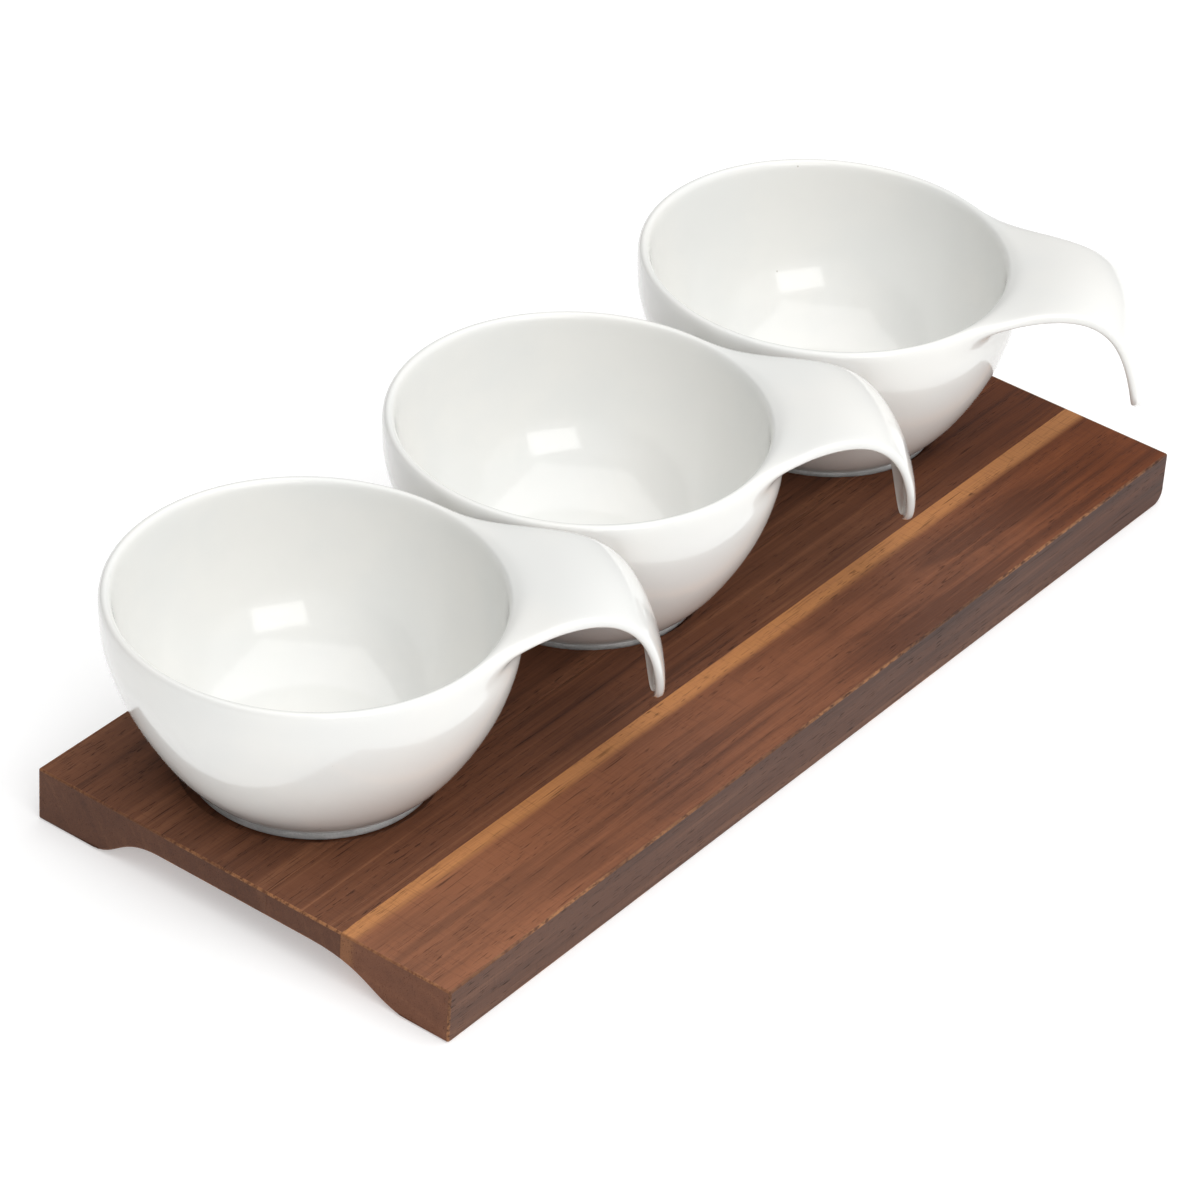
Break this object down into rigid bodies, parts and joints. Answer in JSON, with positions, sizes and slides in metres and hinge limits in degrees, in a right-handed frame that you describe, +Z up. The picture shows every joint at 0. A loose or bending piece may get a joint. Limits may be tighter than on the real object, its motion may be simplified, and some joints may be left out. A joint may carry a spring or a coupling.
{
  "type": "chip and dip server",
  "caption": "Long wooden serving board with a row of round porcelain dip bowls, each with a curled strap handle, standing in shallow recesses.",
  "frame": {"origin": "middle of the board's flat underside, at table level", "axes": "+X along the board from the left bowl to the right bowl, +Y across the board towards the edge the bowls stand nearer, +Z up"},
  "size_m": [0.374, 0.1589, 0.0795],
  "materials": {
    "wood_front": "oiled acacia, reddish brown with a pale sapwood edge",
    "wood_middle": "oiled acacia, dark straight grain",
    "wood_back": "oiled acacia, reddish brown",
    "porcelain": "clear gloss glaze over warm white porcelain"
  },
  "bodies": {
    "board": {"board_stave_front": "wood_front", "board_stave_middle": "wood_middle", "board_stave_back": "wood_back"},
    "bowl_left": {"bowl_left": "porcelain"},
    "bowl_middle": {"bowl_middle": "porcelain"},
    "bowl_right": {"bowl_right": "porcelain"}
  },
  "joints": [
    {"name": "bowl_left_lift", "type": "slide", "parent": "board", "child": "bowl_left", "axis": [0, 0, 1], "range_m": [0, 0.12]},
    {"name": "bowl_middle_lift", "type": "slide", "parent": "board", "child": "bowl_middle", "axis": [0, 0, 1], "range_m": [0, 0.12]},
    {"name": "bowl_right_lift", "type": "slide", "parent": "board", "child": "bowl_right", "axis": [0, 0, 1], "range_m": [0, 0.12]}
  ]
}
